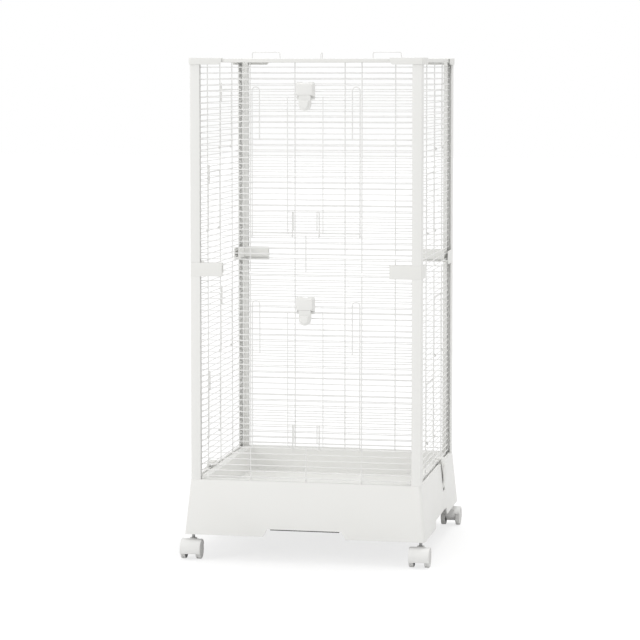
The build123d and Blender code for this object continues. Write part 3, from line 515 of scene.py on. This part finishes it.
for side in ("left", "right"):
    for section in sectionTop:
        for place, (left, right, top, hinge) in zip(("high", "low"), doorways[side]):
            makeSideDoor(side, section, place, left, right, top, hinge)
print("side doors hung")

frontDoor = {
    "gap": 1.5, "legSpacing": 14.5, "legEnd": 13, "arcSteps": 16,
    "hatchTop": 25, "hatchOpening": 49.0, "sillRise": 5.0,
    "railAt": 34.0, "railTop": 6, "railOut": -2.1, "railFoot": -5.2,
    "railCorner": 1.4, "railSteps": 4, "railRadius": 0.95,
}
hatch = {
    "columnAt": 22.5, "out": -4.2, "columnOut": -2.2, "reach": 36.1,
    "lapOut": -2.0, "lapCorner": 1.0, "lapSteps": 4,
}


def hairpin(side, section, sign, outerLeg, innerLeg, hinge, bend):
    # From the eye up the outer leg, over the bend and down to the end of the inner leg
    deep = cage["columnMiddle"]
    arc = (outerLeg - innerLeg) / 2
    path = eyeRun(side, sign * outerLeg, section, hinge)[::-1]
    for step in range(frontDoor["arcSteps"] + 1):
        turn = math.pi * step / frontDoor["arcSteps"]
        u = (outerLeg + innerLeg) / 2 + arc * math.cos(turn)
        path.append(onWall(side, sign * u, deep, bend + arc * math.sin(turn)))
    end = rowHeight(section, frontDoor["legEnd"]) - cage["rowRadius"]
    path.append(onWall(side, sign * innerLeg, deep, end))
    return path


def makeFrontDoor(section):
    side = "front"
    thin = cage["rowRadius"]
    thick = cage["columnRadius"]
    top, hinge = doorways[side][0][2:]
    end = cage["frontColumn"] - thick - frontDoor["gap"]
    outerLeg = end - thick
    innerLeg = outerLeg - frontDoor["legSpacing"]
    foot = rowHeight(section, hinge)
    sill = foot + frontDoor["sillRise"]
    bend = rowHeight(section, top) - 2 * thin - frontDoor["legSpacing"] / 2 - thick
    hatchSide = frontDoor["hatchOpening"] / 2
    hatchHigh = rowHeight(section, frontDoor["hatchTop"]) + thin
    railTop = rowHeight(section, frontDoor["railTop"])
    railPlaces = [
        (frontDoor["railFoot"], railTop), (frontDoor["railOut"], railTop),
        (frontDoor["railOut"], sill), (frontDoor["railFoot"], sill),
    ]
    runs = []
    for sign in (-1, 1):
        runs.append((hairpin(side, section, sign, outerLeg, innerLeg, hinge, bend), thick))
        border = eyeRun(side, sign * (hatchSide + thick), section, hinge)[::-1]
        border.append(onWall(side, sign * (hatchSide + thick), cage["columnMiddle"], hatchHigh))
        runs.append((border, thick))
        rail = [onWall(side, sign * frontDoor["railAt"], n, z) for n, z in railPlaces]
        bent = bendWire(rail, frontDoor["railCorner"], frontDoor["railSteps"])
        runs.append((bent, frontDoor["railRadius"]))
    runs += rowRuns(side, section, range(top + 1, frontDoor["hatchTop"] + 1), -end, end)
    beside = range(frontDoor["hatchTop"] + 1, hinge)
    runs += rowRuns(side, section, beside, -end, -hatchSide)
    runs += rowRuns(side, section, beside, hatchSide, end)
    runs.append(levelRun(side, -end, end, cage["rowMiddle"], sill, thin))
    piece = drawWires(f"frontDoor{section.title()}", runs)
    addPiece(piece, f"front_door_{section}", "wireCoat", f"front_door_{section}")


def makeHatch(section):
    side = "front"
    thin = cage["rowRadius"]
    first = frontDoor["hatchTop"]
    last = doorways[side][0][3] - 1
    lapPlaces = [
        (-hatch["reach"], hatch["lapOut"]), (-hatch["reach"], hatch["out"]),
        (hatch["reach"], hatch["out"]), (hatch["reach"], hatch["lapOut"]),
    ]
    runs = []
    for number in (first, last):
        lap = [onWall(side, u, n, rowHeight(section, number)) for u, n in lapPlaces]
        runs.append((bendWire(lap, hatch["lapCorner"], hatch["lapSteps"]), thin))
    inner = hatch["columnAt"] + cage["columnRadius"]
    for number in range(first + 1, last):
        height = rowHeight(section, number)
        runs.append(levelRun(side, -inner, inner, hatch["out"], height, thin))
    low = rowHeight(section, last) - thin
    high = rowHeight(section, first) + thin
    for sign in (-1, 1):
        u = sign * hatch["columnAt"]
        upright = [onWall(side, u, hatch["columnOut"], z) for z in (low, high)]
        runs.append((upright, cage["columnRadius"]))
    piece = drawWires(f"hatch{section.title()}", runs)
    addPiece(piece, f"hatch_{section}", "wireCoat", f"hatch_{section}")


for section in sectionTop:
    makeFrontDoor(section)
    makeHatch(section)
print("front doors and hatches hung")

roof = {
    "rows": 35, "doorHalf": 85.0, "frontRow": 10, "hingeRow": 24, "handleRow": 17,
    "outerColumn": 208.0, "middleColumn": 160.0, "inset": 10.8, "doorCorner": 9.0, "gap": 1.5,
    "pullRow": 12, "pullLength": 16.0, "pullHeight": 13.0, "pullCorner": 4.0,
}
roofHandle = {
    "inner": 93.0, "outer": 149.0, "height": 15.6, "corner": 4.0, "radius": 0.98,
    "neckOut": 0.6, "neckUp": 1.6, "straightFrom": 2,  # in reaches of the eye, from the hinge
}


def roofRow(number):
    return (number - (roof["rows"] - 1) / 2) * cage["rowPitch"]


def straightX(start, end, y, z, radius):
    return ([(start, y, z), (end, y, z)], radius)


def straightY(x, start, end, z, radius):
    return ([(x, start, z), (x, end, z)], radius)


def roofEye(x, y, start):
    level = cage["roofLevel"]
    return [Vector((x, y + across, level + up)) for across, up in eyeLoop(start)]


def makeRoofPanel():
    thin = cage["rowRadius"]
    thick = cage["columnRadius"]
    level = cage["roofLevel"]
    under = level - thin - thick
    end = cage["halfWidth"] - roof["inset"]
    deep = cage["halfDepth"] - roof["inset"]
    door = roof["doorHalf"]
    cut = range(roof["frontRow"] + 1, roof["hingeRow"])
    runs = []
    for number in range(roof["rows"]):
        y = roofRow(number)
        if number in cut:
            runs.append(straightX(-end, -door + thick, y, level, thin))
            runs.append(straightX(door - thick, end, y, level, thin))
        else:
            runs.append(straightX(-end, end, y, level, thin))
    lastRow = roofRow(roof["rows"] - 1) + thin
    for sign in (-1, 1):
        runs.append(straightY(sign * roof["outerColumn"], -lastRow, lastRow, under, thick))
        for x in (roof["middleColumn"], door):
            runs.append(straightY(sign * x, -deep, deep, under, thick))
    runs.append(straightY(0, -deep, roofRow(roof["frontRow"]) + thin, under, thick))
    runs.append(straightY(0, roofRow(roof["hingeRow"]) - thin, deep, under, thick))
    addPiece(drawWires("roofWires", runs), "frame", "wireCoat", "roof_panel")


def makeRoofDoor():
    thin = cage["rowRadius"]
    thick = cage["columnRadius"]
    level = cage["roofLevel"]
    under = level - thin - thick
    cut = range(roof["frontRow"] + 1, roof["hingeRow"])
    leg = roof["doorHalf"] - 2 * thick - roof["gap"]
    hinge = roofRow(roof["hingeRow"])
    front = roofRow(roof["frontRow"] + 1) - thick
    places = [(-leg, hinge), (-leg, front), (leg, front), (leg, hinge)]
    bow = bendWire([(x, y, under) for x, y in places], roof["doorCorner"])
    eyes = [roofEye(x, hinge, -90) for x in (-leg, leg)]
    runs = [(eyes[0][::-1] + bow[1:-1] + eyes[1], thick)]
    runs += [straightX(-leg - thick, leg + thick, roofRow(n), level, thin) for n in cut]
    pullStart = roofRow(roof["pullRow"])
    pullEnd = pullStart + roof["pullLength"]
    pullTop = cage["plateBottom"] + roof["pullHeight"] - thin
    corners = [(pullStart, level), (pullStart, pullTop), (pullEnd, pullTop), (pullEnd, level)]
    runs.append((bendWire([(0, y, z) for y, z in corners], roof["pullCorner"]), thin))
    addPiece(drawWires("roofDoor", runs), "roof_door", "wireCoat", "roof_door")


def makeRoofHandle(name, sign):
    level = cage["roofLevel"]
    reach = eye["reach"]
    a, b = sign * roofHandle["inner"], sign * roofHandle["outer"]
    top = level + roofHandle["height"] - cage["columnRadius"]
    middle = roofRow(roof["handleRow"])
    places = [(a, level), (a, top), (b, top), (b, level)]
    bow = bendWire([(x, middle, z) for x, z in places], roofHandle["corner"])
    shoulder = [point for point in bow if point.z > level + roofHandle["straightFrom"] * reach]
    neckY = middle + reach * roofHandle["neckOut"]
    neckZ = level + roofHandle["neckUp"] * reach
    path = roofEye(a, middle, 0)[::-1] + [Vector((a, neckY, neckZ))] + shoulder
    path += [Vector((b, neckY, neckZ))] + roofEye(b, middle, 0)
    piece = drawWires(f"roofHandle{name.title()}", [(path, roofHandle["radius"])])
    addPiece(piece, f"roof_handle_{name}", "wireCoat", f"roof_handle_{name}")


def makeRoof():
    makeRoofPanel()
    makeRoofDoor()
    for name, sign in (("left", -1), ("right", 1)):
        makeRoofHandle(name, sign)


makeRoof()
print("roof made")


moulding = {"weldDistance": 0.002, "flatAngle": 0.6}


def softened(node, name, width):
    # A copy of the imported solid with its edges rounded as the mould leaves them
    work = bmesh.new()
    work.from_mesh(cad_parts[node].data)
    bmesh.ops.remove_doubles(work, verts=work.verts, dist=moulding["weldDistance"] * mm)
    flat = math.radians(moulding["flatAngle"])
    bmesh.ops.dissolve_limit(work, angle_limit=flat, verts=work.verts, edges=work.edges)
    softenEdges(work, width)
    return finishMesh(name, work)


def inWords(place):
    return "".join(word.title() for word in place.split("_"))


corners = ("front_left", "front_right", "rear_left", "rear_right")
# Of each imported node: the piece's name, how far its edges are rounded, its finish and its body
softParts = {
    "base_tray": ("baseTray", 0.7, "basePlastic", "frame"),
    "top_rails": ("topRails", 0.3, "fittingPlastic", "frame"),
}
for corner in corners:
    tail = inWords(corner)
    for node, word, width, finish in (
        ("post_lower", "postLower", 0.45, "postPlastic"),
        ("post_upper", "postUpper", 0.45, "postPlastic"),
        ("joiner", "joiner", 0.5, "fittingPlastic"),
        ("top_cap", "topCap", 0.6, "fittingPlastic"),
    ):
        softParts[f"{node}_{corner}"] = (word + tail, width, finish, "frame")
    hood = ("casterHood" + tail, 0.5, "hoodPlastic", f"caster_{corner}")
    softParts[f"caster_hood_{corner}"] = hood
for section in sectionTop:
    for node, word, width, body in (
        ("latch_housing", "latchHousing", 0.9, "front_door"),
        ("latch_plate", "latchPlate", 0.5, "front_door"),
        ("latch_slider", "latchSlider", 0.9, "latch_slider"),
    ):
        part = (word + section.title(), width, "latchPlastic", f"{body}_{section}")
        softParts[f"{node}_{section}"] = part
for side in ("left", "right"):
    clip = ("baseClip" + side.title(), 0.5, "fittingPlastic", f"base_clip_{side}")
    softParts[f"base_clip_{side}"] = clip
for node, (name, width, finish, body) in softParts.items():
    addPiece(softened(node, name, width), body, finish, node)

# Painted shade: a dark strip inside the top of each finger notch stands in for the shade under its
# top edge, for the dark line seen under the front one
notch = {"half": 67.0, "low": 60.2, "high": 64.0, "inner": 4.6, "outer": 5.6, "soften": 0.2}


def makeNotchShadeStrips():
    profile = [
        (notch["inner"], notch["low"]), (notch["outer"], notch["low"]),
        (notch["outer"], notch["high"]), (notch["inner"], notch["high"]),
    ]
    for side in walls:
        ends = [[onWall(side, u, n, z) for n, z in profile] for u in (-notch["half"], notch["half"])]
        lip = extrudeProfile(f"notchShadeStrip{side.title()}", ends, notch["soften"])
        addPiece(lip, "frame", "paintedShade", "base_tray")


makeNotchShadeStrips()
print("moulded parts softened")


def joinRings(work, loops):
    # Rings of equal length become the skin of a turned piece, closed at both ends
    count = len(loops[0])
    for first, second in zip(loops, loops[1:]):
        for index in range(count):
            after = (index + 1) % count
            work.faces.new((first[index], first[after], second[after], second[index]))
    work.faces.new(loops[0][::-1])
    work.faces.new(loops[-1])


turning = {"segments": 48, "stemSegments": 32, "sharp": 30}


def lathe(name, rings):
    # Rings of (distance along x, radius) turned about the x axis through the origin
    work = bmesh.new()
    turns = [2 * math.pi * k / turning["segments"] for k in range(turning["segments"])]
    loops = []
    for x, radius in rings:
        points = [(x, radius * math.cos(turn), radius * math.sin(turn)) for turn in turns]
        loops.append([work.verts.new(Vector(point) * mm) for point in points])
    joinRings(work, loops)
    bmesh.ops.recalc_face_normals(work, faces=work.faces)
    return finishMesh(name, work, turning["sharp"])


caster = {"stemX": 221.1, "stemY": 204.6, "trail": 13.0}
wheel = {
    "radius": 17.5, "half": 19.5, "width": 9.0, "axle": 2.5, "axleInside": 0.2,
    # Steps from the inner face, the middle of the tread and the outer face; then from the radius
    "innerRim": [(0.3, -5), (0, -4), (0, -0.6), (0.6, 0)],
    "treadSeam": [(-0.5, 0), (-0.25, -0.35), (0.25, -0.35), (0.5, 0)],
    "outerRim": [(-1.2, 0), (-0.36, -0.36), (0, -1.2), (0, -3.2), (-0.8, -3.8), (-1.0, -5)],
    # Steps from the outer or inner face, with radii
    "hub": [(-1.0, 6.2), (-0.3, 5.4), (-0.2, 2.2), (-0.2, 0.4)],
    "shadeDisc": [(0.25, 16.3), (-0.1, 16.0), (-0.25, 4.0)],
}


def makeWheelPair(corner):
    signX = -1 if corner.endswith("left") else 1
    signY = -1 if corner.startswith("front") else 1
    axleY = signY * (caster["stemY"] + caster["trail"])
    centre = Vector((signX * caster["stemX"], axleY, wheel["radius"]))
    outer = wheel["half"]
    inner = outer - wheel["width"]
    middle = outer - wheel["width"] / 2
    radius = wheel["radius"]
    face = [(inner + x, radius + r) for x, r in wheel["innerRim"]]
    face += [(middle + x, radius + r) for x, r in wheel["treadSeam"]]
    face += [(outer + x, radius + r) for x, r in wheel["outerRim"]]
    face += [(outer + x, r) for x, r in wheel["hub"]]
    axleEnd = inner + wheel["axleInside"]
    axle = [(-axleEnd, wheel["axle"]), (axleEnd, wheel["axle"])]
    piece = lathe("casterWheels" + inWords(corner), [(-x, r) for x, r in face[::-1]] + axle + face)
    piece.location = centre * mm
    addPiece(piece, f"wheels_{corner}", "wheelPlastic", f"caster_wheels_{corner}")
    # Painted shade: dark inner discs, recessed a little within the rims, stand in for the shade
    # between the wheels
    for side, sign in (("Left", -1), ("Right", 1)):
        plate = [(sign * (inner + x), r) for x, r in wheel["shadeDisc"]]
        disc = lathe(f"paintedWheelShade{side}{inWords(corner)}", plate)
        disc.location = centre * mm
        addPiece(disc, f"wheels_{corner}", "paintedWheelShade", f"caster_wheels_{corner}")


for corner in corners:
    makeWheelPair(corner)

# Of each turned piece on the stems: its rings of (height, radius) and its finish
stemParts = {
    "stemPins": ([(22, 2.9), (22.3, 3.0), (46, 3.0), (63.4, 3.0), (64, 2.6)], "stemSteel"),
    "stemCups": ([(47.0, 5.2), (47.3, 5.5), (49.7, 5.5), (50, 5.3)], "hoodPlastic"),
}


def makeStems():
    count = turning["stemSegments"]
    turns = [2 * math.pi * k / count for k in range(count)]
    places = [(x * caster["stemX"], y * caster["stemY"]) for x in (-1, 1) for y in (-1, 1)]
    for name, (rings, finish) in stemParts.items():
        work = bmesh.new()
        for x, y in places:
            loops = []
            for z, radius in rings:
                ring = [(x + radius * math.cos(t), y + radius * math.sin(t), z) for t in turns]
                loops.append([work.verts.new(Vector(point) * mm) for point in ring])
            joinRings(work, loops)
        bmesh.ops.recalc_face_normals(work, faces=work.faces)
        addPiece(finishMesh(name, work, turning["sharp"]), "frame", finish, "caster_stems")


makeStems()
print("casters made")
